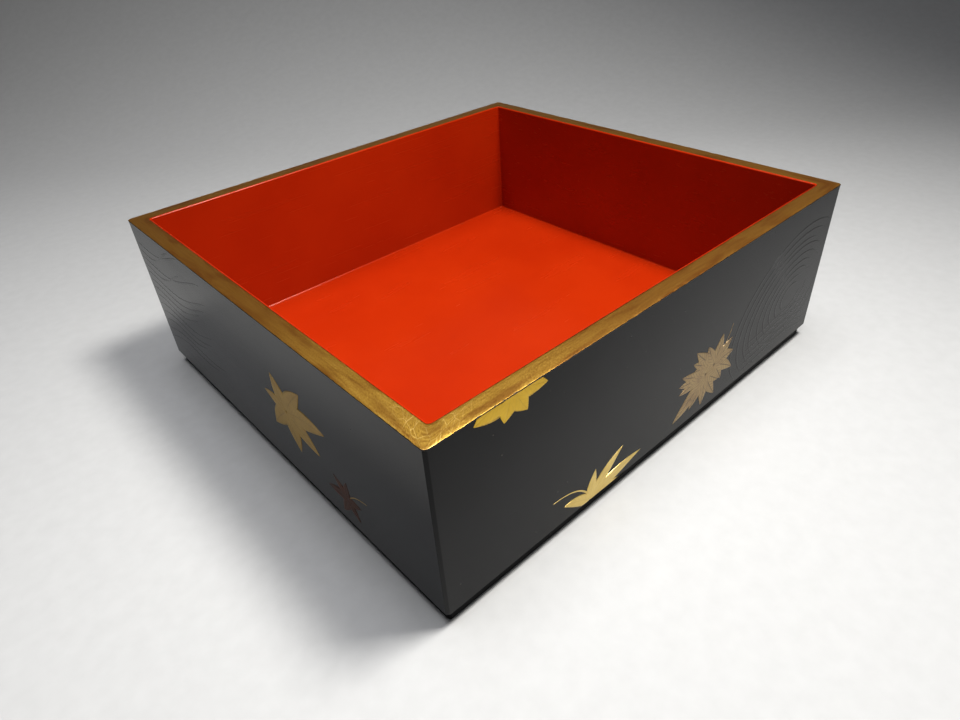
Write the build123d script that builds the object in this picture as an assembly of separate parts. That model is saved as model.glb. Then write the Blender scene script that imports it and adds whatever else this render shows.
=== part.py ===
from build123d import *
import os
from math import sqrt

# One open tier of a stacking lacquered food box. Millimetres, +Z up.
# The origin is the middle of the box's footprint, on the surface it stands on.
# X runs along the longer walls, the front wall is at -Y, and Z = 0 is under the foot.

# Overall sizes
length = 228.0           # over the gold rim, along X
width = 212.0            # over the gold rim, along Y
height = 76.5            # from the table to the top of the rim
corner_chamfer = 1.0     # flat on each upright outer corner

# Bare wood
board = 6.0              # thickness of the four wall boards
bottom_board = 5.0       # thickness of the bottom board
rabbet = 3.0             # how far the bottom board reaches into the walls
rabbet_gap = 0.1         # room for the bottom board to swell, each side

# Lacquer, ground coats included
outer_coat = 0.8         # black, on the outer faces
inner_coat = 0.7         # vermilion, on the inner faces and the floor
under_coat = 0.5         # black, on the underside
rim_coat = 0.5           # gold, on the rim
rim_lap = 0.15           # how far the gold stands out past the outer faces
rim_round = 0.2          # round on the gold's outer top edge
lip_round = 0.6          # round on the vermilion's top edge, beside the gold

# Rounded inner corners
inner_corner_radius = 1.0
floor_radius = 0.8

# Foot frame
foot_height = 6.0        # from the table to the underside of the walls
foot_inset = 1.8         # from the gold rim's outline in to the foot
foot_width = 12.0
foot_edge = 0.4          # worn flat on the foot's lower outer edge

# Feather keys across the mitres
key_count = 3            # up each corner
key_thickness = 1.6
key_leg = 8.0            # along each wall, from the corner

# Bamboo pegs from the walls into the bottom board's edge
peg_count = 4            # along each wall
peg_radius = 1.0
peg_reach = 9.0          # into the bottom board
peg_gap = 0.02           # glue round each peg and dowel

# Dowels between the foot and the bottom board
dowel_radius = 1.2
dowel_cover = 1.0        # wood left above a dowel, in the bottom board
dowel_start = 2.0        # wood left below a dowel, in the foot

# Hemp cloth round the upright corners
cloth_leg = 15.0         # along each wall, from the corner
cloth_thickness = 0.4

# Outlines, from the outside in
wall_length = length - 2 * rim_lap
wall_width = width - 2 * rim_lap
wood_length = wall_length - 2 * outer_coat
wood_width = wall_width - 2 * outer_coat
inner_length = wood_length - 2 * board
inner_width = wood_width - 2 * board
clear_length = inner_length - 2 * inner_coat
clear_width = inner_width - 2 * inner_coat
foot_length = length - 2 * foot_inset
foot_depth = width - 2 * foot_inset

# Levels, from the table up
wood_low = foot_height + under_coat
wood_high = height - rim_coat
bottom_high = wood_low + bottom_board
floor_level = bottom_high + inner_coat

# Rounds on the back of the vermilion lacquer
coat_corner_radius = inner_corner_radius + inner_coat
coat_floor_radius = floor_radius + inner_coat

# An offset face keeps an even coat over the corner flat only if the inner flat is smaller.
CHAMFER_LOSS = 2 - sqrt(2)
wood_chamfer = corner_chamfer - outer_coat * CHAMFER_LOSS
cloth_chamfer = corner_chamfer - (outer_coat - cloth_thickness) * CHAMFER_LOSS

SIDES = ("front", "right", "back", "left")


def prism(points, low, high):
    """Solid of constant outline between two levels."""
    face = make_face(Polyline(*points, close=True))
    return extrude(Pos(0, 0, low) * face, high - low)


def chamfered_block(along_x, along_y, low, high, flat):
    """Rectangular block with a flat on each upright corner."""
    block = extrude(Pos(0, 0, low) * Rectangle(along_x, along_y), high - low)
    return chamfer(block.edges().filter_by(Axis.Z), flat)


def rounded_well(along_x, along_y, low, high, corner_radius, bottom_radius):
    """Block with rounded upright corners and a rounded lower edge, the shape of the hollow."""
    block = extrude(Pos(0, 0, low) * Rectangle(along_x, along_y), high - low)
    block = fillet(block.edges().filter_by(Axis.Z), corner_radius)
    return fillet(block.faces().sort_by(Axis.Z)[0].edges(), bottom_radius)


def mitred_strip(along, across, thickness, low, high, flat):
    """One side of a mitred frame, at -Y, with half of the corner flat at each end."""
    x = along / 2
    y = across / 2
    points = [
        (-x + flat, -y),
        (x - flat, -y),
        (x - flat / 2, -y + flat / 2),
        (x - thickness, -y + thickness),
        (-x + thickness, -y + thickness),
        (-x + flat / 2, -y + flat / 2),
    ]
    return prism(points, low, high)


def spans(index, along_x, along_y):
    """A side's own length, and the size across the box, for the sides in their order."""
    return (along_x, along_y) if index % 2 == 0 else (along_y, along_x)


def turned(index, shape):
    """A shape made at the front, turned to the place of another side."""
    return Rot(0, 0, 90 * index) * shape


def spread(count, span):
    """Evenly spaced places along a side, half a space in from each end."""
    return [span * ((i + 0.5) / count - 0.5) for i in range(count)]


def between(places):
    """Places midway between neighbours."""
    return [(a + b) / 2 for a, b in zip(places, places[1:])]


def corner_keys():
    """Thin feathers let in across each mitre from the outside, cut flush with the wood."""
    x = wood_length / 2
    y = wood_width / 2
    step = (wood_high - wood_low) / (key_count + 1)
    keys = []
    for sx, sy in ((1, 1), (-1, 1), (-1, -1), (1, -1)):
        points = [
            (sx * (x - key_leg), sy * y),
            (sx * (x - wood_chamfer), sy * y),
            (sx * x, sy * (y - wood_chamfer)),
            (sx * x, sy * (y - key_leg)),
        ]
        for i in range(key_count):
            middle = wood_low + step * (i + 1)
            keys.append(prism(points, middle - key_thickness / 2, middle + key_thickness / 2))
    return keys


def bottom_pegs(radius):
    """Round pegs lying across each wall, from its outer face into the bottom board's edge."""
    depth = board - rabbet + rabbet_gap + peg_reach
    middle = wood_low + bottom_board / 2
    pegs = []
    for index in range(len(SIDES)):
        across = spans(index, wood_length, wood_width)[1]
        for place in spread(peg_count, spans(index, inner_length, inner_width)[0]):
            start = Plane(origin=(place, -across / 2, middle), z_dir=(0, 1, 0))
            pegs.append(turned(index, extrude(start * Circle(radius), depth)))
    return pegs


def foot_dowels(radius):
    """Upright dowels along the foot's middle line, each midway between two pegs."""
    high = bottom_high - dowel_cover
    dowels = []
    for index in range(len(SIDES)):
        line = (foot_width - spans(index, foot_length, foot_depth)[1]) / 2
        for place in between(spread(peg_count, spans(index, inner_length, inner_width)[0])):
            dowel = extrude(Pos(place, line, dowel_start) * Circle(radius), high - dowel_start)
            dowels.append(turned(index, dowel))
    return dowels


def wall_board(along, across):
    """Mitred wall board with a rabbet along its inner lower edge."""
    strip = mitred_strip(along, across, board, wood_low, wood_high, wood_chamfer)
    seat = extrude(
        Pos(0, 0, wood_low) * Rectangle(along - 2 * (board - rabbet), across - 2 * (board - rabbet)),
        bottom_board,
    )
    return strip - seat


def foot_strip(along, across):
    """Mitred foot strip, with a worn flat along its lower outer edge."""
    strip = mitred_strip(along, across, foot_width, 0, wood_low, corner_chamfer)
    lower_outer = strip.edges().filter_by(Axis.X).group_by(Axis.Z)[0].sort_by(Axis.Y)[0]
    return chamfer(lower_outer, foot_edge)


def corner_cloth():
    """Hemp cloth folded round each upright corner and pasted to the wood."""
    over = 2 * cloth_thickness
    shell = chamfered_block(wood_length + over, wood_width + over, wood_low, wood_high, cloth_chamfer)
    shell -= chamfered_block(wood_length, wood_width, wood_low, wood_high, wood_chamfer)
    x = (wood_length - cloth_leg) / 2 + cloth_thickness
    y = (wood_width - cloth_leg) / 2 + cloth_thickness
    corners = []
    for sx, sy in ((1, 1), (-1, 1), (-1, -1), (1, -1)):
        keep = Pos(sx * x, sy * y, height / 2) * Box(cloth_leg, cloth_leg, height)
        corners += (shell & keep).solids()
    return corners


def outer_lacquer(cloth, foot):
    """Black lacquer over the outer faces and the narrow ledge beside the foot."""
    coat = chamfered_block(wall_length, wall_width, foot_height, wood_high, corner_chamfer)
    coat -= chamfered_block(wood_length, wood_width, wood_low, wood_high, wood_chamfer)
    for piece in cloth:
        coat -= piece
    return coat - foot


def underside_lacquer():
    """Black lacquer on the bottom, inside the foot frame."""
    panel = Rectangle(foot_length - 2 * foot_width, foot_depth - 2 * foot_width)
    return extrude(Pos(0, 0, foot_height) * panel, under_coat)


def gold_rim():
    """Gold lacquer over the walls' top edges, a little proud of the outer faces."""
    band = chamfered_block(length, width, wood_high, height, corner_chamfer)
    band = fillet(band.faces().sort_by(Axis.Z)[-1].edges(), rim_round)
    hollow = extrude(Pos(0, 0, wood_high) * Rectangle(inner_length, inner_width), rim_coat)
    return band - fillet(hollow.edges().filter_by(Axis.Z), coat_corner_radius)


def lacquer_back():
    """The outline of the vermilion lacquer's hidden side, which the putty fits."""
    return rounded_well(
        inner_length, inner_width, bottom_high, height, coat_corner_radius, coat_floor_radius
    )


def inner_lacquer(back):
    """Vermilion lacquer: a thin open box, its lip rounded over beside the gold."""
    coat = back - rounded_well(
        clear_length, clear_width, floor_level, height, inner_corner_radius, floor_radius
    )
    lip = coat.faces().sort_by(Axis.Z)[-1].inner_wires()[0]
    return fillet(lip.edges(), lip_round)


def square_hollow(low, high):
    """The hollow between the bare wall boards, between two levels."""
    return extrude(Pos(0, 0, low) * Rectangle(inner_length, inner_width), high - low)


def node(name, pieces):
    """Writes one sub-part: a single solid, or a group of like solids."""
    solids = pieces if isinstance(pieces, list) else [pieces]
    solids = [solid for piece in solids for solid in piece.solids()]
    shape = solids[0] if len(solids) == 1 else Compound(children=solids)
    shape.label = name
    export_step(shape, f"parts/{name}.step")


def main():
    os.makedirs("parts", exist_ok=True)

    keys = corner_keys()
    peg_holes = bottom_pegs(peg_radius + peg_gap)
    dowel_holes = foot_dowels(dowel_radius + peg_gap)

    for index, side in enumerate(SIDES):
        wall = turned(index, wall_board(*spans(index, wood_length, wood_width)))
        foot = turned(index, foot_strip(*spans(index, foot_length, foot_depth)))
        node(f"wall_{side}", wall - keys - peg_holes)
        node(f"foot_{side}", foot - dowel_holes)

    rabbet_room = 2 * (rabbet - rabbet_gap)
    panel = Rectangle(inner_length + rabbet_room, inner_width + rabbet_room)
    bottom = extrude(Pos(0, 0, wood_low) * panel, bottom_board)
    node("bottom_board", bottom - peg_holes - dowel_holes)

    node("corner_keys", keys)
    node("bottom_pegs", bottom_pegs(peg_radius))
    node("foot_dowels", foot_dowels(dowel_radius))

    cloth = corner_cloth()
    node("corner_cloth", cloth)

    foot_block = chamfered_block(foot_length, foot_depth, 0, wood_low, corner_chamfer)
    node("outer_lacquer", outer_lacquer(cloth, foot_block))
    node("underside_lacquer", underside_lacquer())
    node("gold_rim", gold_rim())

    # The putty fills the bare hollow's square corners, behind the lacquer's rounds.
    back = lacquer_back()
    ring_high = bottom_high + coat_floor_radius
    node("inner_lacquer", inner_lacquer(back))
    node("floor_putty", square_hollow(bottom_high, ring_high) - back)
    node("corner_putty", square_hollow(ring_high, wood_high) - back)


main()
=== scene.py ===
# %% [markdown]
# # A lacquered food box with a gilded rim, maple leaves and running water
#
# The real box is a thin board box under many coats of tree lacquer: black outside, vermilion
# inside, gold powder on the rim, and leaves sprinkled in gold on two of the walls. The boards,
# joints and coats come from the CAD model with their exact sizes. What this script adds is
# what a lacquer workshop adds last: the finish of every coat, the uneven gilding of the rim,
# and the raised picture. All lengths are metres, and MM is one millimetre of them.

import bmesh
import bpy
import numpy as np
from mathutils import Matrix, Vector


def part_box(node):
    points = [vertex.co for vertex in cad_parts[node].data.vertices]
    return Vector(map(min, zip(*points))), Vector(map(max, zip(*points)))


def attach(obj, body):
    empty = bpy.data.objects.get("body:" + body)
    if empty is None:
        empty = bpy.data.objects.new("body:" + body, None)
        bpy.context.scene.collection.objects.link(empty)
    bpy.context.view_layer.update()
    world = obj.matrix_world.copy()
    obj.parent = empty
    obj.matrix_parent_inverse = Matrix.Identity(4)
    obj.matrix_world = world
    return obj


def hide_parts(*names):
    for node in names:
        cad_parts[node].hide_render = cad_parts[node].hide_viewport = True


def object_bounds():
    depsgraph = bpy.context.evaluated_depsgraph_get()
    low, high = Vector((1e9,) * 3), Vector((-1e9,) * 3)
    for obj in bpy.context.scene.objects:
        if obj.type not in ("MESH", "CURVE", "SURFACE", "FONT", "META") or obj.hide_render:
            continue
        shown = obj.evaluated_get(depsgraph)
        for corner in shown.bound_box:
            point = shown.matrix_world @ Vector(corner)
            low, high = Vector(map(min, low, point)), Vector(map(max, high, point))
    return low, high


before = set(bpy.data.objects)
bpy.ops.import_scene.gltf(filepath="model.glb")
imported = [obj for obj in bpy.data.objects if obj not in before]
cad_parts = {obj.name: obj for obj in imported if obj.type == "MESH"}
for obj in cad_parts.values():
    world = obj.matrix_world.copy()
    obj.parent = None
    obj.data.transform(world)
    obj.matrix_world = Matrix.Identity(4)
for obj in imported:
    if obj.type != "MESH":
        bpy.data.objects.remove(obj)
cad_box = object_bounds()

MM = 0.001
box_low, box_high = cad_box
print("CAD nodes:", len(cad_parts))
print("box in mm:", [round(side / MM, 1) for side in box_high - box_low])

# %% [markdown]
# ## Colours
#
# A hex colour is stored for a screen, with its steps spaced for the eye. Blender mixes light in
# linear values, so one function undoes the screen's curve, and every colour goes through it.


# %% From hex to linear
def linear(hex_colour):
    """Linear red, green, blue and alpha 1. Each channel c of the hex colour, from 0 to 1, becomes
    c / 12.92 when it is dark, and ((c + 0.055) / 1.055) to the power 2.4 otherwise."""
    channels = np.array([int(hex_colour[i : i + 2], 16) for i in (1, 3, 5)]) / 255
    dark = channels / 12.92
    light = ((channels + 0.055) / 1.055) ** 2.4
    return (*np.where(channels <= 0.04045, dark, light).tolist(), 1.0)


print("mid grey #808080 in linear light:", round(linear("#808080")[0], 3))

# %% [markdown]
# ## The camera
#
# The box is seen from close by, over its near corner, with a wide lens: the near corner looks
# tall and the far sides run together quickly. So the camera is placed from that corner of the
# model, and turned in three steps: heading, dip, and a small roll of the hands that held it.

# %% The camera over the near corner
near_corner = Vector((box_low.x, box_low.y, 0.0))
camera_from_corner = Vector((-67.3, -104.3, 192.25)) * MM
heading, dip, roll = np.radians([49.95, 35.83, -4.02])

camera_data = bpy.data.cameras.new("camera")
camera_data.lens = 25.27
camera_data.clip_start = 5 * MM
camera = bpy.data.objects.new("camera", camera_data)
place = Matrix.Translation(near_corner + camera_from_corner)
turn_to_heading = Matrix.Rotation(heading - np.pi / 2, 4, "Z")
tip_down = Matrix.Rotation(np.pi / 2 - dip, 4, "X")
roll_over = Matrix.Rotation(roll, 4, "Z")
camera.matrix_world = place @ turn_to_heading @ tip_down @ roll_over
bpy.context.scene.collection.objects.link(camera)
bpy.context.scene.camera = camera
print("camera at mm:", [round(c / MM, 1) for c in camera.location])

# %% [markdown]
# ## Meshes from grids
#
# Every new piece is a surface worked out as one array of points: rings of points, one ring after
# another along a path. One function joins rings into faces. It takes several surfaces at once,
# because a leaf is several lobes, and it closes each: a ring whose points all coincide becomes a
# pole when the doubles are merged. The normals are worked out again after that.


# %% One function for every surface
def piece(name, surfaces, finish):
    """A mesh of closed surfaces. Each surface is (points, pattern): points is an array of rings
    by points by xyz, and pattern gives each point a place in the piece's own UV map, in metres.
    Point j of ring i is joined to point j + 1 of its ring and to point j of ring i + 1. A
    surface that meets itself repeats its first ring as its last."""
    corners, quads, places = [], [], []
    for points, pattern in surfaces:
        rings, around = points.shape[:2]
        number = np.arange(rings * around).reshape(rings, around) + sum(map(len, corners))
        near, far = number[:-1], number[1:]
        square = [near, far, np.roll(far, -1, axis=1), np.roll(near, -1, axis=1)]
        quads.append(np.stack(square, axis=-1).reshape(-1, 4))
        corners.append(points.reshape(-1, 3))
        places.append(pattern.reshape(-1, 2))
    corners, quads, places = map(np.concatenate, (corners, quads, places))
    mesh = bpy.data.meshes.new(name)
    mesh.from_pydata(corners.tolist(), [], quads.tolist())
    uv = mesh.uv_layers.new(name="pattern")
    uv.data.foreach_set("uv", places[quads.ravel()].astype(np.float32).ravel())
    shell = bmesh.new()
    shell.from_mesh(mesh)
    bmesh.ops.remove_doubles(shell, verts=shell.verts, dist=0.0005 * MM)
    bmesh.ops.dissolve_degenerate(shell, edges=shell.edges, dist=0.0005 * MM)
    bmesh.ops.recalc_face_normals(shell, faces=shell.faces)
    open_edges = sum(not edge.is_manifold for edge in shell.edges)
    shell.to_mesh(mesh)
    shell.free()
    mesh.shade_smooth()
    mesh.materials.append(finish)
    made = bpy.data.objects.new(name, mesh)
    bpy.context.scene.collection.objects.link(made)
    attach(made, "root")
    print(f"{name}: {len(mesh.polygons)} faces, {open_edges} open edges")
    return made


# %% [markdown]
# ## Shader nodes
#
# A finish is built from noise and coordinates. One small function adds a node of any kind, sets
# it up and links it, so each finish below reads from top to bottom like a recipe.


# %% Adding a node
def add(tree, kind, inputs=None, output=0, stops=None, **settings):
    """Adds a node to the tree, and returns one of its outputs. inputs gives sockets, by name or
    by number, either a value or another node's output. stops gives a colour ramp's places and
    colours. settings are the node's own properties."""
    node = tree.nodes.new("ShaderNode" + kind)
    for name, value in settings.items():
        setattr(node, name, value)
    for name, value in (inputs or {}).items():
        if isinstance(value, bpy.types.NodeSocket):
            tree.links.new(value, node.inputs[name])
        else:
            node.inputs[name].default_value = value
    if stops:
        ramp = node.color_ramp.elements
        while len(ramp) < len(stops):
            ramp.new(1.0)
        for element, (place, colour) in zip(ramp, stops):
            element.position = place
            element.color = linear(colour)
    return node.outputs[output]


# %% Starting a finish
def new_finish(name, **sockets):
    """A material with one Principled shader, whose sockets are set to values or to outputs by
    paint(). Values that are the same all over stay on the shader's own sockets."""
    finish = bpy.data.materials.new(name)
    finish.use_nodes = True
    shader = finish.node_tree.nodes["Principled BSDF"]
    for socket, value in sockets.items():
        shader.inputs[socket.replace("_", " ")].default_value = value
    return finish, finish.node_tree


def paint(finish, **outputs):
    """Links outputs of nodes to the shader's sockets."""
    tree = finish.node_tree
    shader = tree.nodes["Principled BSDF"]
    for socket, output in outputs.items():
        tree.links.new(output, shader.inputs[socket.replace("_", " ")])


def per_metre(size_in_mm):
    """The scale that makes a noise or a cell pattern repeat about once in size_in_mm."""
    return 1 / (size_in_mm * MM)


# %% [markdown]
# ## Black lacquer
#
# Tree lacquer coloured with iron is a clear, very dark varnish. It is brushed on, left to harden
# in a damp cupboard, and rubbed with charcoal and oil until it shines. Up close the brush has
# left long low ridges, a few specks of dust have been caught, and years of wiping have put a
# faint haze over it. The table's white shows in it as a dim grey: on the walls the mirror is set
# to less than half of what such a varnish would give, because that comes nearest to the photo.


# %% Black lacquer, brushed and rubbed
def black_lacquer(name, gloss, haze, brush_mm, level):
    """Black lacquer. gloss and haze are the lowest and highest roughness, brush_mm the spacing of
    the brush's ridges, which run level round the walls, and level the strength of its mirror,
    where 0.5 is what its IOR gives."""
    finish, tree = new_finish(name, IOR=1.5, Specular_IOR_Level=level)
    where = add(tree, "TexCoord", output="Object")
    clouds = add(tree, "TexNoise", {"Vector": where, "Scale": per_metre(22), "Detail": 4.0})
    colour = add(
        tree,
        "ValToRGB",
        {"Fac": clouds},
        stops=[(0.3, "#070708"), (0.7, "#0E0E10")],
    )
    ridges_along = add(
        tree, "Mapping", {"Vector": where, "Scale": (0.03, 0.03, 1.0)}, vector_type="POINT"
    )
    ridges = add(
        tree,
        "TexNoise",
        {"Vector": ridges_along, "Scale": per_metre(brush_mm), "Detail": 3.0},
    )
    grain = add(tree, "TexNoise", {"Vector": where, "Scale": per_metre(0.9), "Detail": 2.0})
    wiped = add(tree, "Math", {0: clouds, 1: ridges}, operation="MULTIPLY")
    rough = add(
        tree,
        "MapRange",
        {"Value": wiped, "From Min": 0.12, "From Max": 0.42, "To Min": gloss, "To Max": haze},
    )
    # Dust caught in the last coat: real specks are finer, and these are coarser so that they show.
    cells = add(
        tree, "TexVoronoi", {"Vector": where, "Scale": per_metre(7), "Randomness": 1.0}
    )
    speck = add(
        tree,
        "MapRange",
        {"Value": cells, "From Min": 0.02, "From Max": 0.05, "To Min": 1.0, "To Max": 0.0},
    )
    dusty = add(
        tree,
        "Mix",
        {0: speck, 6: colour, 7: linear("#55524C")},
        output=2,
        data_type="RGBA",
    )
    height = add(tree, "Math", {0: ridges, 1: grain}, operation="ADD")
    relief = add(
        tree, "Bump", {"Height": height, "Strength": 0.06, "Distance": 0.02 * MM}
    )
    paint(finish, Base_Color=dusty, Roughness=rough, Normal=relief)
    return finish


# %% The three black coats
# The walls were polished, the underside was only brushed, and the foot has been slid about.
wall_black = black_lacquer("Black tree lacquer, brushed and rubbed", 0.11, 0.2, 1.6, 0.22)
under_black = black_lacquer("Black tree lacquer, left from the brush", 0.38, 0.55, 2.5, 0.4)
foot_black = black_lacquer("Black tree lacquer, scuffed foot", 0.42, 0.6, 0.8, 0.12)
print("black finishes:", wall_black.name, "|", under_black.name, "|", foot_black.name)

# %% [markdown]
# ## Vermilion lacquer
#
# The inside is the same varnish, filled with ground cinnabar, so it is opaque, strong orange-red
# and reddish deep in its own shade. It was not rubbed as long as the black: brush ridges are
# left in it, and its gloss is wide and quiet.


# %% Vermilion lacquer, brushed
def vermilion_lacquer():
    """Cinnabar lacquer. Its colour drifts a little where the coat is thinner, and the brush's
    ridges run level along the walls and lengthwise over the floor."""
    finish, tree = new_finish(
        "Vermilion tree lacquer, brushed", IOR=1.5, Specular_IOR_Level=0.3
    )
    where = add(tree, "TexCoord", output="Object")
    drift = add(tree, "TexNoise", {"Vector": where, "Scale": per_metre(45), "Detail": 3.0})
    colour = add(
        tree,
        "ValToRGB",
        {"Fac": drift},
        stops=[(0.3, "#A22A06"), (0.7, "#AA3009")],
    )
    ridges_along = add(tree, "Mapping", {"Vector": where, "Scale": (0.04, 0.25, 1.0)})
    ridges = add(
        tree, "TexNoise", {"Vector": ridges_along, "Scale": per_metre(1.8), "Detail": 3.0}
    )
    rough = add(
        tree,
        "MapRange",
        {"Value": ridges, "From Min": 0.3, "From Max": 0.7, "To Min": 0.22, "To Max": 0.28},
    )
    relief = add(
        tree, "Bump", {"Height": ridges, "Strength": 0.02, "Distance": 0.03 * MM}
    )
    paint(finish, Base_Color=colour, Roughness=rough, Normal=relief)
    return finish


vermilion = vermilion_lacquer()
print("inside:", vermilion.name)

# %% [markdown]
# ## Gold on the rim
#
# Gold powder was sprinkled on wet lacquer and sealed with a thin brown coat, then burnished along
# the rim. So it is a real metal under a stain: bright where the burnisher bit, brown where the
# sealing coat is thick or the powder thin, with fine streaks that follow the rim. The browning
# that grows away from the front left corner is painted shade, which leaves that corner bright
# under the lamp's highlight. The pattern is read from the rim's own UV map, whose first number
# runs round the rim and second across it.


# %% Gold powder under a thin coat, burnished along the rim
def rim_gold(band):
    """Gilding of a rim band metres wide. Streaks are noise stretched along the rim, stains are
    noise five times longer than wide, and both edges of the band are ragged. It browns between
    1 and 9 cm from the front left corner. That browning is painted shade, which leaves the corner
    bright where the lamp's highlight falls."""
    finish, tree = new_finish("Gold powder on lacquer, burnished")
    where = add(tree, "UVMap", uv_map="pattern")
    along_rim = add(tree, "Mapping", {"Vector": where, "Scale": (0.06, 1.0, 1.0)})
    streaks = add(
        tree, "TexNoise", {"Vector": along_rim, "Scale": per_metre(0.8), "Detail": 4.0}
    )
    long_stains = add(tree, "Mapping", {"Vector": where, "Scale": (0.2, 1.0, 1.0)})
    stains = add(
        tree,
        "TexNoise",
        {"Vector": long_stains, "Scale": per_metre(5), "Detail": 5.0, "Distortion": 0.6},
    )
    powder = add(
        tree, "TexNoise", {"Vector": where, "Scale": per_metre(0.6), "Detail": 3.0}
    )
    grain = add(tree, "Mix", {0: 0.55, 2: streaks, 3: powder})
    worn = add(
        tree,
        "MapRange",
        {"Value": stains, "From Min": 0.5, "From Max": 0.64, "To Min": 0.0, "To Max": 0.55},
    )
    place = add(tree, "TexCoord", output="Object")
    corner = tuple(box_low.xy) + (box_high.z,)
    reach = add(
        tree, "VectorMath", {0: place, 1: corner}, output="Value", operation="DISTANCE"
    )
    # Knocks from the lid: fine bright scratches, 3 mm apart, in patches near the bright corner.
    cracks = add(
        tree,
        "TexVoronoi",
        {"Vector": where, "Scale": per_metre(3.2)},
        feature="DISTANCE_TO_EDGE",
    )
    fine = add(
        tree,
        "MapRange",
        {"Value": cracks, "From Min": 0.0, "From Max": 0.035, "To Min": 0.85, "To Max": 0.0},
    )
    patch = add(
        tree,
        "MapRange",
        {"Value": stains, "From Min": 0.62, "From Max": 0.42, "To Min": 0.0, "To Max": 1.0},
    )
    near = add(
        tree,
        "MapRange",
        {"Value": reach, "From Min": 8 * MM, "From Max": 28 * MM, "To Min": 1.0, "To Max": 0.0},
    )
    here = add(tree, "Math", {0: patch, 1: near}, operation="MULTIPLY")
    scratched = add(tree, "Math", {0: fine, 1: here}, operation="MULTIPLY")
    gold = add(
        tree,
        "ValToRGB",
        {"Fac": grain},
        stops=[(0.25, "#866220"), (0.5, "#B08B3C"), (0.75, "#CFAB55")],
    )
    # Painted shade: from 1 to 9 cm away from the front left corner, the gold is mixed towards
    # brown, so only that corner, under the lamp's highlight, stays bright.
    dull = add(
        tree,
        "MapRange",
        {"Value": reach, "From Min": 10 * MM, "From Max": 90 * MM, "To Max": 0.74},
    )
    gold_with_painted_shade = add(
        tree, "Mix", {0: dull, 6: gold, 7: linear("#74481A")}, 2, data_type="RGBA"
    )
    stained = add(
        tree, "Mix", {0: worn, 6: gold_with_painted_shade, 7: linear("#6E3D12")}, 2, data_type="RGBA"
    )
    knocked = add(
        tree, "Mix", {0: scratched, 6: stained, 7: linear("#EBCB84")}, 2, data_type="RGBA"
    )
    across = add(tree, "SeparateXYZ", {0: where}, output="Y")
    slow = add(tree, "TexNoise", {"Vector": where, "Scale": per_metre(2.4), "Detail": 3.0})
    ragged = add(
        tree, "MapRange", {"Value": slow, "To Min": -0.5 * MM, "To Max": 0.5 * MM}
    )
    edge = add(tree, "Math", {0: across, 1: ragged}, operation="ADD")
    bare_outside = add(tree, "Math", {0: edge, 1: -0.02 * MM}, operation="LESS_THAN")
    bare_inside = add(
        tree, "Math", {0: edge, 1: band - 0.05 * MM}, operation="GREATER_THAN"
    )
    bare = add(tree, "Math", {0: bare_outside, 1: bare_inside}, operation="MAXIMUM")
    colour = add(
        tree, "Mix", {0: bare, 6: knocked, 7: linear("#23140A")}, 2, data_type="RGBA"
    )
    metal = add(tree, "MapRange", {"Value": bare, "To Min": 0.72, "To Max": 0.0})
    rough = add(
        tree,
        "MapRange",
        {"Value": powder, "From Min": 0.3, "From Max": 0.7, "To Min": 0.36, "To Max": 0.5},
    )
    height = add(tree, "Math", {0: streaks, 1: powder}, operation="ADD")
    relief = add(
        tree, "Bump", {"Height": height, "Strength": 0.3, "Distance": 0.06 * MM}
    )
    paint(finish, Base_Color=colour, Metallic=metal, Roughness=rough, Normal=relief)
    return finish


# %% [markdown]
# ## The rim itself
#
# The CAD rim is a flat strip. The real one is a soft cushion of lacquer and gold: it is crowned
# across its width, turned over the outer edge, and dented a little along it. It could be a
# bevelled box, but its two outlines have different corners, cut outside and round inside. So
# the surface is a profile carried round a path that blends from one outline to the other.


# %% The outlines of the band
def outline(half_x, half_y, corner, power, per_side=260, per_corner=14):
    """Points round a rectangle with softened corners, anticlockwise from the +X +Y corner. Each
    corner is a quarter of the curve |x|^power + |y|^power = corner^power: a straight
    cut for power 1, a quarter circle for power 2."""
    turn = np.linspace(0, np.pi / 2, per_corner)
    reach = (np.cos(turn) ** power + np.sin(turn) ** power) ** (-1 / power)
    arc = corner * reach[:, None] * np.stack([np.cos(turn), np.sin(turn)], axis=1)
    centre = np.array([half_x - corner, half_y - corner])
    quarters = []
    for quarter in range(4):
        cos, sin = [(1, 0), (0, 1), (-1, 0), (0, -1)][quarter]
        spin = np.array([[cos, -sin], [sin, cos]])
        middle = centre if quarter % 2 == 0 else centre[::-1]
        quarters.append((arc + middle) @ spin.T)
    sides = []
    for here, following in zip(quarters, quarters[1:] + quarters[:1]):
        share = np.linspace(0, 1, per_side)[1:-1, None]
        sides.append(np.concatenate([here, here[-1] + (following[0] - here[-1]) * share]))
    return np.concatenate(sides)


rim_low, rim_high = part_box("gold_rim")
lip_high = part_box("inner_lacquer")[1]
band = rim_high.x - lip_high.x
print("rim band in mm:", round(band / MM, 2))

# %% The band's surface
corner_cut, inner_round = 1.0 * MM, 1.7 * MM
outer_line = outline(rim_high.x, rim_high.y, corner_cut, 1)
inner_line = outline(rim_high.x - band, rim_high.y - band, inner_round, 2)
thickness = rim_high.z - rim_low.z
crown = 0.09 * MM
arris = 0.2 * MM


def rim_profile():
    """Pairs of inset from the outer outline and height under the rim's top, in metres, round the
    band's section: up the outside, over a quarter circle, across the crown, and back below. The
    crown is a parabola, highest in the middle of the band."""
    turn = np.linspace(0, np.pi / 2, 5)
    over = np.stack([arris * (1 - np.cos(turn)), arris * (1 - np.sin(turn))], axis=1)
    across = np.linspace(arris, band, 13)[1:]
    top = np.stack([across, np.zeros_like(across)], axis=1)
    upper = np.concatenate([over, top])
    upper[:, 1] += crown * (2 * upper[:, 0] / band - 1) ** 2
    below = np.array([[band, thickness], [band / 2, thickness], [0.0, thickness]])
    return np.concatenate([upper, below])


section = rim_profile()
print("points round the rim:", len(outer_line), "and across it:", len(section))

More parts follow.
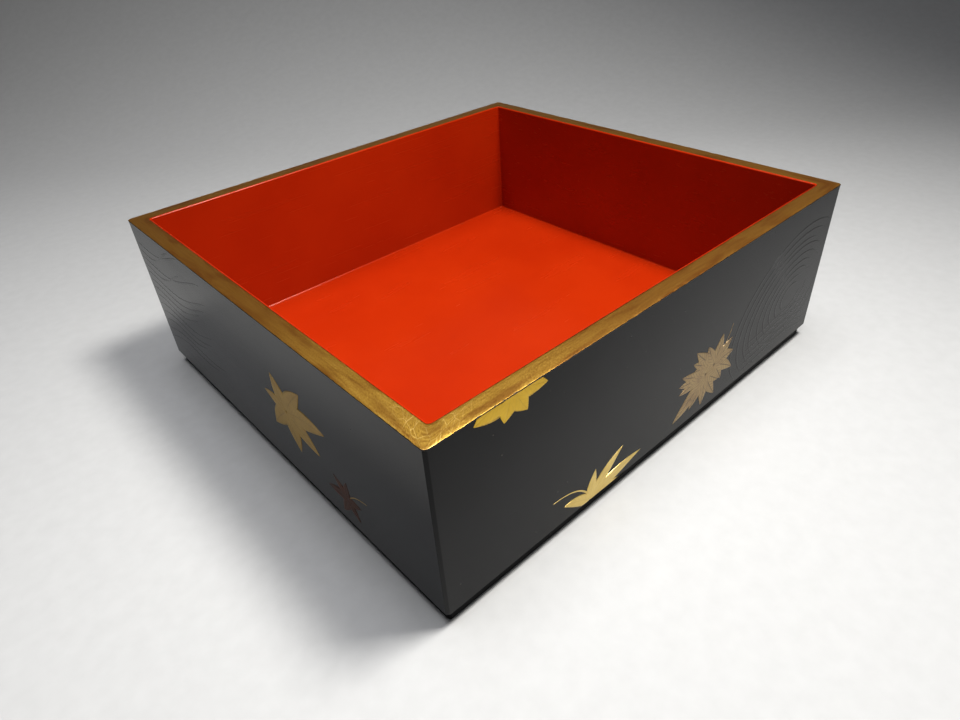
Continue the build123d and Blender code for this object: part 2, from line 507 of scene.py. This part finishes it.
# %% Dents and waves left by hand work
rng = np.random.default_rng(7)
path = np.concatenate([[0], np.cumsum(np.linalg.norm(np.diff(outer_line, axis=0), axis=1))])
length_round = path[-1] + np.linalg.norm(outer_line[0] - outer_line[-1])


def waves(count, longest, depth):
    """A sum of count sine waves round the rim, each a whole number of turns so that it meets
    itself, with random phases: between 0 and depth."""
    turns = rng.integers(length_round / longest, 6 * length_round / longest, count)
    phase = rng.uniform(0, 2 * np.pi, count)
    angle = 2 * np.pi * path[:, None] / length_round * turns + phase
    return depth * (0.5 + np.sin(angle).sum(axis=1) / (2 * count))


def dents(count, width, depth):
    """Small dents along the outer edge: count bell curves of that width at random places."""
    places = rng.uniform(0, length_round, count)
    sizes = rng.uniform(0.3, 1.0, count)
    gap = (path[:, None] - places + length_round / 2) % length_round - length_round / 2
    return depth * (sizes * np.exp(-((gap / width) ** 2))).max(axis=1)


sag = waves(9, 60 * MM, 0.05 * MM)
edge_dents = dents(40, 1.1 * MM, 0.16 * MM)
share = section[None, :, 0] / band
flat = outer_line[:, None] * (1 - share[..., None]) + inner_line[:, None] * share[..., None]
near_edge = np.exp(-((section[None, :, 0] / (0.7 * MM)) ** 2))
is_top = (section[None, :, 1] < thickness).astype(float)
drop = section[None, :, 1] + is_top * (sag[:, None] + edge_dents[:, None] * near_edge)
height = rim_high.z - np.minimum(drop, thickness)
rim_points = np.concatenate([flat, height[..., None]], axis=2)
down_the_side = np.where(section[:, 0] < arris, section[:, 1], 0)
across = np.broadcast_to(section[:, 0] - down_the_side, rim_points.shape[:2])
round_and_across = np.stack([np.broadcast_to(path[:, None], across.shape), across], axis=2)
rim_points = np.concatenate([rim_points, rim_points[:1]])
last_ring = round_and_across[:1] + np.array([length_round, 0])
round_and_across = np.concatenate([round_and_across, last_ring])
gilding = rim_gold(band)
rim = piece("gold_rim_band", [(rim_points, round_and_across)], gilding)
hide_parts("gold_rim")
print("deepest dent in mm:", round(edge_dents.max() / MM, 2))

# %% [markdown]
# ## Drawing on the walls
#
# The picture is raised on two walls. A point of it is given as millimetres along the wall from
# the near corner, millimetres above the table, and millimetres out from the black face. One
# function turns that into the model's frame, so the drawing reads the same on both walls.

# %% The two decorated walls
face_low, face_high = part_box("outer_lacquer")


def on_wall(wall, drawn):
    """Places an array of (along, up, out), in mm, on the front or the left wall. Along runs from
    the near corner. Out is away from the box."""
    along, up, out = np.moveaxis(np.asarray(drawn, float) * MM, -1, 0)
    if wall == "front":
        placed = [box_low.x + along, face_low.y - out, up]
    else:
        placed = [face_low.x - out, box_low.y + along, up]
    return np.stack(placed, axis=-1)


wall_foot = face_low.z / MM + 0.25
wall_top = rim_low.z / MM - 0.02
print("drawing field in mm: from", round(wall_foot, 2), "to", round(wall_top, 2))

# %% [markdown]
# ## A maple leaf, lobe by lobe
#
# The painter draws each lobe with one press of a brush full of lacquer, dusts gold on it, and
# scratches the veins through with a needle. So a leaf is made the same way: each lobe is a slim
# closed surface 0.1 mm high, carried along a slightly bent line from the leaf's heart to the tip,
# with a groove along its middle. Lobes are laid one over another, each a hair higher.


# %% One lobe
# All in mm, out from the wall or across a lobe. The back of each raised piece lies in the lacquer.
sunk = -0.03
lobe_rise = 0.09
groove_depth, groove_reach = 0.05, 0.12
points_across = 17


def lobe(heart, tip, width, bend, lift=0.0, steps=30):
    """Rings of one lobe, in wall millimetres. Its half width at a share s of its length is
    width / 2 times (s + 0.06)^0.6 (1 - s), scaled to reach width / 2 at its widest. Its
    middle line is straight, plus bend times 4 s (1 - s) to the left. Across, its height is
    lobe_rise + lift, times 1 - t^6, less a groove at t = 0. Its back is sunk into the wall."""
    heart, tip = np.array(heart, float), np.array(tip, float)
    s = np.linspace(0, 1, steps)
    swell = (s + 0.06) ** 0.6 * (1 - s)
    half = width / 2 * swell / swell.max()
    half[0] = 0
    ahead = (tip - heart) / np.linalg.norm(tip - heart)
    left = np.array([-ahead[1], ahead[0]])
    middle = heart + np.outer(s, tip - heart) + np.outer(4 * bend * s * (1 - s), left)
    spread = np.linspace(-1, 1, points_across)
    t = np.concatenate([spread * np.abs(spread) ** 0.6, [0.5, -0.5]])
    front = np.concatenate([np.ones(points_across), np.zeros(2)])
    groove = groove_depth * np.exp(-((t[None] * half[:, None] / groove_reach) ** 2))
    crest = (lobe_rise + lift) * (1 - t[None] ** 6) - groove
    out = np.where(front[None] > 0, crest, sunk) * (half[:, None] > 0)
    flat = middle[:, None] + (t[None] * half[:, None])[..., None] * left
    rings = np.concatenate([flat, out[..., None]], axis=2)
    length = np.linalg.norm(tip - heart)
    along = np.broadcast_to(s[:, None] * length, rings.shape[:2])
    across = t[None] * half[:, None]
    return rings, np.stack([along, across], axis=2) * MM


# %% One stem
def leftward(line):
    """Unit vectors to the left of the way that a line runs, one at each of its points."""
    ahead = np.gradient(line, axis=0)
    ahead /= np.linalg.norm(ahead, axis=1, keepdims=True)
    return np.stack([-ahead[:, 1], ahead[:, 0]], axis=1)


def stem(points, width, steps=40):
    """Rings of a stem along a smooth curve through three points: the quadratic curve that starts
    at the first, ends at the last, and passes the middle one half way. It thins to its end."""
    first, middle, last = (np.array(p, float) for p in points)
    pull = 2 * middle - (first + last) / 2
    s = np.linspace(0, 1, steps)[:, None]
    line = (1 - s) ** 2 * first + 2 * s * (1 - s) * pull + s**2 * last
    left = leftward(line)
    turn = np.linspace(0, 2 * np.pi, 8, endpoint=False)
    half = width / 2 * (1 - 0.55 * s) * (s > 0) * (s < 1)
    flat = line[:, None] + (half * np.cos(turn)[None])[..., None] * left[:, None]
    out = 0.05 * np.sin(turn)[None] * (half > 0)
    rings = np.concatenate([flat, out[..., None]], axis=2)
    along = np.broadcast_to(s * np.linalg.norm(last - first), rings.shape[:2])
    across = half * np.cos(turn)[None] + width
    return rings, np.stack([along, across], axis=2) * MM


# %% A whole leaf
def leaf(wall, heart, lobes, stems=()):
    """Surfaces of a leaf: lobes are (tip, width, bend), all from the heart, and stems are
    (points, width). What would pass the wall's foot or its top is flattened onto that line,
    where the painter stopped."""
    drawn = [
        lobe(heart, tip, width, bend, lift=0.004 * number)
        for number, (tip, width, bend) in enumerate(lobes)
    ]
    drawn += [stem(points, width) for points, width in stems]
    surfaces = []
    for rings, pattern in drawn:
        rings[..., 1] = np.clip(rings[..., 1], wall_foot, wall_top)
        surfaces.append((on_wall(wall, rings), pattern))
    return surfaces


# %% [markdown]
# ## The gold of the leaves
#
# The leaves are the same gold powder, but each was dusted with a different care. A bright leaf is
# dense powder, burnished. A dull one is sparse powder, so the black or brown lacquer under it
# shows between the grains, and its veins are scratched through in a herringbone. The pattern
# is read from each lobe's own UV map: its first number runs along the lobe, its second across.


# %% Gold powder, dusted over a brushed leaf
def leaf_gold(name, bright, shaded, ground, density, roughness, vein):
    """Sprinkled gold. bright and shaded are the powder's colours, ground the lacquer that shows
    where it is sparse, density the share of powder, and vein how strongly the needle shows.
    A side vein is where along - 1.3 |across| is near a whole number of 2.2 mm."""
    finish, tree = new_finish(name)
    where = add(tree, "UVMap", uv_map="pattern")
    along = add(tree, "SeparateXYZ", {0: where}, output="X")
    across = add(tree, "SeparateXYZ", {0: where}, output="Y")
    away = add(tree, "Math", {0: across}, operation="ABSOLUTE")
    slope = add(tree, "Math", {0: away, 1: -1.3, 2: along}, operation="MULTIPLY_ADD")
    # Ping-pong climbs for 1.1 mm and falls for 1.1 mm, so a side vein comes every 2.2 mm. Real
    # ones are closer, and these are coarser so that they show.
    repeat = add(tree, "Math", {0: slope, 1: 1.1 * MM}, operation="PINGPONG")
    side_vein = add(
        tree,
        "MapRange",
        {"Value": repeat, "From Min": 0.0, "From Max": 0.28 * MM, "To Min": 1.0, "To Max": 0.0},
    )
    midrib = add(
        tree,
        "MapRange",
        {"Value": away, "From Min": 0.1 * MM, "From Max": 0.3 * MM, "To Min": 1.0, "To Max": 0.0},
    )
    needle = add(tree, "Math", {0: side_vein, 1: midrib}, operation="MAXIMUM")
    scratch = add(tree, "Math", {0: needle, 1: vein}, operation="MULTIPLY")
    place = add(tree, "TexCoord", output="Object")
    powder = add(
        tree, "TexNoise", {"Vector": place, "Scale": per_metre(0.45), "Detail": 3.0}
    )
    clouds = add(tree, "TexNoise", {"Vector": place, "Scale": per_metre(6), "Detail": 2.0})
    mixed = add(tree, "Math", {0: powder, 1: clouds}, operation="ADD")
    cover = add(
        tree,
        "MapRange",
        {
            "Value": mixed,
            "From Min": 1.2 - density * 0.5,
            "From Max": 0.9 - density * 0.5,
            "To Min": 1.0,
            "To Max": 0.0,
        },
    )
    colour = add(
        tree, "Mix", {0: clouds, 6: linear(shaded), 7: linear(bright)}, 2, data_type="RGBA"
    )
    gold_share = add(tree, "Math", {0: cover, 1: scratch}, operation="SUBTRACT", use_clamp=True)
    dusted = add(
        tree, "Mix", {0: gold_share, 6: linear(ground), 7: colour}, 2, data_type="RGBA"
    )
    rough = add(
        tree,
        "MapRange",
        {"Value": powder, "To Min": roughness - 0.1, "To Max": roughness + 0.1},
    )
    height = add(tree, "Math", {0: powder, 1: scratch}, operation="SUBTRACT")
    relief = add(
        tree, "Bump", {"Height": height, "Strength": 0.3, "Distance": 0.04 * MM}
    )
    paint(
        finish, Base_Color=dusted, Metallic=gold_share, Roughness=rough, Normal=relief
    )
    return finish


bright_gold = leaf_gold(
    "Gold powder, dense and burnished", "#DDBB4D", "#C29D37", "#6B4A1E", 1.3, 0.4, 0.12
)
pale_gold = leaf_gold(
    "Gold and silver powder, dense", "#E6CF8A", "#D2B465", "#7A5C2E", 1.3, 0.36, 0.12
)
aged_gold = leaf_gold(
    "Gold powder, dense and unpolished", "#B59A5C", "#94794A", "#40301C", 1.15, 0.5, 0.25
)
sparse_gold = leaf_gold(
    "Gold powder, sparse with needle veins", "#BAA67C", "#9C8468", "#3F3029", 0.8, 0.5, 0.7
)
red_dust = leaf_gold(
    "Red lacquer dust with a little gold", "#6A4838", "#48302A", "#1A1311", 0.5, 0.5, 0.4
)

# %% [markdown]
# ## The leaves on the front wall
#
# Three groups: one leaf comes over the rim, one stands on the wall's foot with a long stem, and a
# pair of dull leaves lies one over the other farther along. Every leaf is this script's own
# drawing of a common maple leaf: a heart, and lobes that run out from it.

# %% The leaf that comes over the rim
rim_leaf = leaf(
    "front",
    (31, 79),
    [
        ((16.5, 73.6), 11.0, 0.3),
        ((27.6, 68.0), 9.6, 0.4),
        ((37.0, 67.6), 8.6, -0.3),
        ((45.5, 73.2), 8.6, -0.4),
    ],
)
piece("leaf_over_rim", rim_leaf, bright_gold)

# %% The leaf that stands on the wall's foot
foot_leaf = leaf(
    "front",
    (67.5, 6.2),
    [
        ((53.6, 13.2), 5.4, -1.0),
        ((70.2, 20.0), 5.2, 0.3),
        ((85.4, 21.2), 5.6, 0.9),
        ((97.0, 11.6), 5.6, 1.0),
        ((88.0, 4.0), 5.4, 0.6),
    ],
    stems=[([(66.8, 9.6), (59.5, 16.5), (48.0, 18.9)], 0.9)],
)
piece("leaf_on_foot", foot_leaf, pale_gold)

# %% The dull pair
upper_leaf = leaf(
    "front",
    (143, 26.5),
    [
        ((128.4, 39.6), 6.8, 0.5),
        ((127.2, 34.6), 6.0, 0.3),
        ((128.4, 30.6), 6.0, 0.0),
        ((136.8, 38.2), 6.2, 0.2),
        ((147.0, 39.6), 6.8, -0.3),
        ((155.0, 34.2), 6.2, -0.3),
        ((157.6, 26.6), 7.0, 0.3),
        ((158.8, 17.2), 6.0, 0.5),
        ((150.5, 15.6), 6.6, 0.3),
    ],
    stems=[([(146, 29), (151, 35), (153.5, 41.5)], 0.7)],
)
piece("dull_leaf_upper", upper_leaf, sparse_gold)
lower_leaf = leaf(
    "front",
    (137.5, 24.5),
    [
        ((120.0, 32.0), 5.4, 0.4),
        ((118.6, 28.0), 5.2, 0.2),
        ((119.4, 23.6), 5.6, -0.3),
        ((117.3, 10.4), 7.8, 0.8),
        ((128.5, 11.2), 7.0, 0.3),
        ((137.4, 8.6), 7.0, 0.3),
        ((147.0, 9.6), 6.4, -0.4),
        ((148.6, 16.2), 6.6, 0.0),
    ],
)
piece("dull_leaf_lower", lower_leaf, sparse_gold)

# %% [markdown]
# ## The leaves on the left wall
#
# A large leaf in older, unpolished gold, and below it a small one in red dust that hardly stands
# out from the black, with a stem of fine gold.

# %% The large leaf and the red one
large_leaf = leaf(
    "left",
    (86.5, 38.5),
    [
        ((92.2, 53.6), 9.6, 0.4),
        ((71.4, 54.6), 9.4, -0.9),
        ((58.6, 44.0), 9.4, -1.2),
        ((66.6, 29.4), 9.4, -0.5),
        ((82.6, 21.0), 10.0, -0.4),
        ((99.6, 26.0), 9.0, 0.5),
        ((101.5, 41.4), 6.2, 0.4),
    ],
)
piece("large_leaf", large_leaf, aged_gold)
red_leaf = leaf(
    "left",
    (52, 19),
    [
        ((65.0, 17.5), 4.6, 0.3),
        ((59.5, 26.5), 4.2, 0.3),
        ((51.0, 28.0), 4.0, -0.3),
        ((43.6, 20.0), 3.8, 0.2),
        ((46.0, 11.5), 4.4, 0.3),
        ((57.0, 10.0), 4.6, -0.3),
    ],
)
piece("red_leaf", red_leaf, red_dust)
stem_path = [(50.5, 20.5), (45.5, 24.2), (38.5, 26.2)]
red_leaf_stem = leaf("left", (52, 19), [], stems=[(stem_path, 0.6)])
piece("red_leaf_stem", red_leaf_stem, aged_gold)

# %% [markdown]
# ## Running water
#
# Behind the leaves, streams and an eddy are drawn black on black: thin ridges of lacquer under the
# last coat, that show only where the light slides over them. Each line is a low rounded
# ridge carried along a curve given by a formula.


# %% One water line
def water_line(wall, line, width=1.3, rise=0.008):
    """A low ridge along a line of (along, up) points, in mm. Its section is half an ellipse on
    the wall, and it narrows to nothing over the first and last tenth of its length."""
    line = np.asarray(line, float)
    s = np.linspace(0, 1, len(line))[:, None]
    fade = np.sqrt(np.clip(np.minimum(s, 1 - s) / 0.1, 0, 1))
    left = leftward(line)
    turn = np.linspace(0, 2 * np.pi, 8, endpoint=False)
    across = width / 2 * fade * np.cos(turn)[None]
    out = np.where(np.sin(turn) > 0, rise * np.sin(turn), sunk)[None] * (fade > 0)
    flat = line[:, None] + across[..., None] * left[:, None]
    rings = np.concatenate([flat, out[..., None]], axis=2)
    rings[..., 1] = np.clip(rings[..., 1], wall_foot, wall_top)
    along = np.broadcast_to(s * len(line) * 0.5, rings.shape[:2])
    return on_wall(wall, rings), np.stack([along, across], axis=2) * MM


wall_length = (face_high.x - box_low.x) / MM
wall_depth = (face_high.y - box_low.y) / MM
print("front and left wall in mm:", round(wall_length, 1), round(wall_depth, 1))

# %% The eddy and its stream
margin = 1.5
fewest_points = 12


def inside(line, length):
    """The longest run of a line's points that lies on the wall, clear of its ends."""
    on = (line[:, 0] < length - margin) & (line[:, 0] > margin)
    on &= (line[:, 1] > wall_foot + 0.5) & (line[:, 1] < wall_top - 1)
    edges = np.flatnonzero(np.diff(np.concatenate([[0], on.astype(int), [0]])))
    runs = edges.reshape(-1, 2)
    if len(runs) == 0:
        return line[:0]
    first, last = max(runs.tolist(), key=lambda run: run[1] - run[0])
    return line[first:last]


def eddy(centre, radius, tilt, start, stop):
    """An arc of an oval that opens as it turns: radius times 1 across and 0.72 up at its start,
    and a sixth wider by its end, turned by tilt."""
    angle = np.linspace(start, stop, 140)
    grow = radius * (1 + (angle - start) / (stop - start) / 6)
    oval = np.stack([grow * np.cos(angle), 0.72 * grow * np.sin(angle)], axis=1)
    cos, sin = np.cos(tilt), np.sin(tilt)
    return np.array(centre) + oval @ np.array([[cos, sin], [-sin, cos]])


eddy_rings = []
for ring in range(9):
    begin = np.pi * (0.2 + 0.1 * rng.uniform(-1, 1))
    turned = np.pi * (1.7 if ring < 5 else 1.0)
    oval = eddy((202, 33), 7 + 4.3 * ring, 0.3, begin, begin + turned)
    arc = inside(oval, wall_length)
    if len(arc) > fewest_points:
        eddy_rings.append(water_line("front", arc))
for strand in range(5):
    share = np.linspace(0, 1, 120)
    rise = 9.5 + 3.4 * strand + 5 * np.sin(np.pi * share) * share
    swept = np.stack([168 + 54 * share, rise], axis=1)
    eddy_rings.append(water_line("front", inside(swept, wall_length)))
print("lines in the eddy:", len(eddy_rings))

# %% The stream on the left wall
stream_lines = []
for strand in range(13):
    share = np.linspace(0, 1, 150)
    along = 209 - (40 + 30 * rng.uniform(0, 1)) * share
    swing = 2.6 * np.sin(1.6 * np.pi * share + 0.25 * strand)
    up = 16 + 4.2 * strand + swing + 9 * share**1.3
    line = inside(np.stack([along, up], axis=1), wall_depth)
    if len(line) > fewest_points:
        stream_lines.append(water_line("left", line))
print("lines in the stream:", len(stream_lines))

# %% Their finish
# The same black, rubbed a little less than the wall round it.
ridge_black = black_lacquer("Black tree lacquer, ridges less rubbed", 0.16, 0.26, 1.6, 0.22)
piece("eddy_lines", eddy_rings, ridge_black)
piece("stream_lines", stream_lines, ridge_black)

# %% [markdown]
# ## What lies under the lacquer
#
# Nobody sees the wood of a finished box, but each node can be looked at alone, so each has its own
# finish: planed cypress with its growth rings, darker keys, split bamboo, hemp cloth stuck over
# the joints, and putty of clay and raw lacquer.


# %% Planed wood
# A wave texture repeats every 2 pi / 20 of its scaled length, so dividing its scale by a full
# turn makes it repeat every 2 mm for each mm that per_metre is given.
full_turn = 6.3


def planed_wood(name, early, late, half_ring_mm, stretch, roughness):
    """Wood with growth rings twice half_ring_mm apart, before the stretch. The rings are a wave
    bent by noise, stretch sets how the pattern is drawn out along each axis, and pores are a
    finer stretched noise."""
    finish, tree = new_finish(name, IOR=1.45)
    where = add(tree, "TexCoord", output="Object")
    drawn = add(tree, "Mapping", {"Vector": where, "Scale": stretch})
    rings = add(
        tree,
        "TexWave",
        {
            "Vector": drawn,
            "Scale": per_metre(half_ring_mm) / full_turn,
            "Distortion": 4.0,
            "Detail": 3.0,
            "Detail Scale": 1.5,
        },
        wave_type="BANDS",
        bands_direction="Z",
    )
    colour = add(tree, "ValToRGB", {"Fac": rings}, stops=[(0.2, early), (0.9, late)])
    pores = add(tree, "TexNoise", {"Vector": drawn, "Scale": per_metre(0.4), "Detail": 2.0})
    rough = add(
        tree,
        "MapRange",
        {"Value": pores, "To Min": roughness - 0.1, "To Max": roughness + 0.1},
    )
    relief = add(tree, "Bump", {"Height": pores, "Strength": 0.3, "Distance": 0.05 * MM})
    paint(finish, Base_Color=colour, Roughness=rough, Normal=relief)
    return finish


cypress = planed_wood(
    "Cypress, planed", "#D8B98A", "#B98C58", 2.0, (0.06, 0.06, 1.0), 0.55
)
key_wood = planed_wood(
    "Cherry keys, planed", "#9C6B45", "#74482A", 1.5, (0.1, 0.1, 1.0), 0.5
)
bamboo = planed_wood("Bamboo, split", "#CDB277", "#A98A4E", 0.8, (1.0, 1.0, 0.05), 0.5)
print("woods:", cypress.name, "|", key_wood.name, "|", bamboo.name)


# %% Hemp cloth stuck down with lacquer
def hemp():
    """Cloth: two sets of waves multiplied. On a wall one set is level and 2 mm apart, and the
    other slants across it at 45 degrees, 2.8 mm apart."""
    finish, tree = new_finish("Hemp cloth, plain weave in lacquer", IOR=1.48)
    where = add(tree, "TexCoord", output="Object")
    threads = [
        add(
            tree,
            "TexWave",
            {"Vector": where, "Scale": per_metre(1.0) / full_turn, "Distortion": 0.6},
            wave_type="BANDS",
            bands_direction=direction,
        )
        for direction in ("DIAGONAL", "Z")
    ]
    weave = add(tree, "Math", {0: threads[0], 1: threads[1]}, operation="MULTIPLY")
    colour = add(
        tree, "ValToRGB", {"Fac": weave}, stops=[(0.1, "#54442C"), (0.8, "#A08C66")]
    )
    rough = add(tree, "MapRange", {"Value": weave, "To Min": 0.8, "To Max": 0.65})
    relief = add(tree, "Bump", {"Height": weave, "Strength": 0.6, "Distance": 0.15 * MM})
    paint(finish, Base_Color=colour, Roughness=rough, Normal=relief)
    return finish


# %% Putty of clay and raw lacquer
def putty():
    """Trowelled putty: two sizes of noise for grit and for the trowel's waves."""
    finish, tree = new_finish("Clay and lacquer putty, trowelled", IOR=1.5)
    where = add(tree, "TexCoord", output="Object")
    grit = add(tree, "TexNoise", {"Vector": where, "Scale": per_metre(0.5), "Detail": 4.0})
    trowel = add(tree, "TexNoise", {"Vector": where, "Scale": per_metre(9), "Detail": 2.0})
    both = add(tree, "Math", {0: grit, 1: trowel}, operation="ADD")
    colour = add(
        tree, "ValToRGB", {"Fac": trowel}, stops=[(0.3, "#3A2E25"), (0.7, "#54453A")]
    )
    rough = add(tree, "MapRange", {"Value": grit, "To Min": 0.65, "To Max": 0.9})
    relief = add(tree, "Bump", {"Height": both, "Strength": 0.4, "Distance": 0.1 * MM})
    paint(finish, Base_Color=colour, Roughness=rough, Normal=relief)
    return finish


# %% Every CAD node gets its finish
finish_of_slot = {
    "wood_core": cypress,
    "feather_wood": key_wood,
    "bamboo": bamboo,
    "hemp_cloth": hemp(),
    "lacquer_putty": putty(),
    "black_lacquer": wall_black,
    "black_lacquer_foot": foot_black,
    "black_lacquer_underside": under_black,
    "vermilion_lacquer": vermilion,
    "gold_lacquer": gilding,
}
for name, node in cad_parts.items():
    for place in node.material_slots:
        place.material = finish_of_slot[place.material.name]
print("nodes finished:", len(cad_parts))

# %% [markdown]
# ## Table and backdrop
#
# The table is one pale sheet that curves up behind the box, so no line crosses the picture.
# It is a profile carried sideways: flat, a quarter circle, then upright.


# %% The sweep
def sweep(front, flat_to, bend, top, half_width):
    """A sheet across the camera's heading. Its profile runs flat from -front to flat_to, turns
    up through a quarter circle of radius bend, and stands up to top."""
    turn = np.linspace(0, np.pi / 2, 24)
    curve = np.stack(
        [flat_to + bend * np.sin(turn), bend * (1 - np.cos(turn))], axis=1
    )
    profile = np.concatenate([[[-front, 0.0]], curve, [[flat_to + bend, top]]])
    ahead = np.array([np.cos(heading), np.sin(heading)])
    side = np.array([np.sin(heading), -np.cos(heading)])
    across = np.linspace(-half_width, half_width, 9)
    flat = profile[:, None, :1] * ahead + across[None, :, None] * side
    rise = np.broadcast_to(profile[:, None, 1:], (*flat.shape[:2], 1))
    return np.concatenate([flat, rise], axis=2)


sheet = sweep(1.5, 0.3, 0.42, 1.6, 2.2)
rows, columns = sheet.shape[:2]
number = np.arange(rows * columns).reshape(rows, columns)
squares = np.stack(
    [number[:-1, :-1], number[:-1, 1:], number[1:, 1:], number[1:, :-1]], axis=-1
)
table_mesh = bpy.data.meshes.new("table")
table_mesh.from_pydata(sheet.reshape(-1, 3).tolist(), [], squares.reshape(-1, 4).tolist())
table_mesh.shade_smooth()
table = bpy.data.objects.new("table", table_mesh)
bpy.context.scene.collection.objects.link(table)

# %% Its paper
paper, tree = new_finish("Pale paper", IOR=1.45, Specular_IOR_Level=0.2)
where = add(tree, "TexCoord", output="Object")
fibre = add(tree, "TexNoise", {"Vector": where, "Scale": per_metre(6), "Detail": 4.0})
shade = add(tree, "ValToRGB", {"Fac": fibre}, stops=[(0.3, "#B7B7B7"), (0.7, "#BBBBBB")])
dry = add(tree, "MapRange", {"Value": fibre, "To Min": 0.75, "To Max": 0.85})
paint(paper, Base_Color=shade, Roughness=dry)
table_mesh.materials.append(paper)

# %% [markdown]
# ## Light
#
# One soft lamp hangs half a metre above the box, a little in front of its front right corner.
# Being near, it lights the table strongly below and leaves the distance dim, throws the box's
# shadow to the left, and puts a bright line on each rounded edge that faces half way between lamp
# and eye. A wide panel overhead opens the shadow with little light on the walls, a weak one in
# front gives the front wall its sheen, and a dim grey sky fills the rest.


# %% Three lamps and a dim sky
def panel(name, place, aim, width, watts, tint, beam=180):
    """A square lamp of that width, turned from its place to aim. beam is its full angle."""
    data = bpy.data.lights.new(name, "AREA")
    data.size = width
    data.energy = watts
    data.color = linear(tint)[:3]
    data.spread = np.radians(beam)
    lamp = bpy.data.objects.new(name, data)
    lamp.location = place
    lamp.rotation_euler = (Vector(aim) - Vector(place)).to_track_quat("-Z", "Y").to_euler()
    bpy.context.scene.collection.objects.link(lamp)
    return lamp


panel("near lamp", (0.105, -0.182, 0.569), (-0.12, -0.03, 0.0), 0.15, 2.1, "#FFFDF8", 128)
panel("overhead panel", (-0.2, 0.05, 1.5), (-0.2, -0.05, 0.0), 0.8, 2.5, "#FBFCFF", 72)
panel("front panel", (-0.1, -1.1, 0.55), (0.0, 0.0, 0.0), 0.9, 1.8, "#F6F9FF")
sky = bpy.data.worlds.new("dim sky")
sky.use_nodes = True
glow = sky.node_tree.nodes["Background"].inputs
glow["Color"].default_value = linear("#8C8C8A")
glow["Strength"].default_value = 0.13
bpy.context.scene.world = sky
bpy.context.scene.view_settings.view_transform = "Standard"
bpy.context.scene.view_settings.look = "Medium High Contrast"
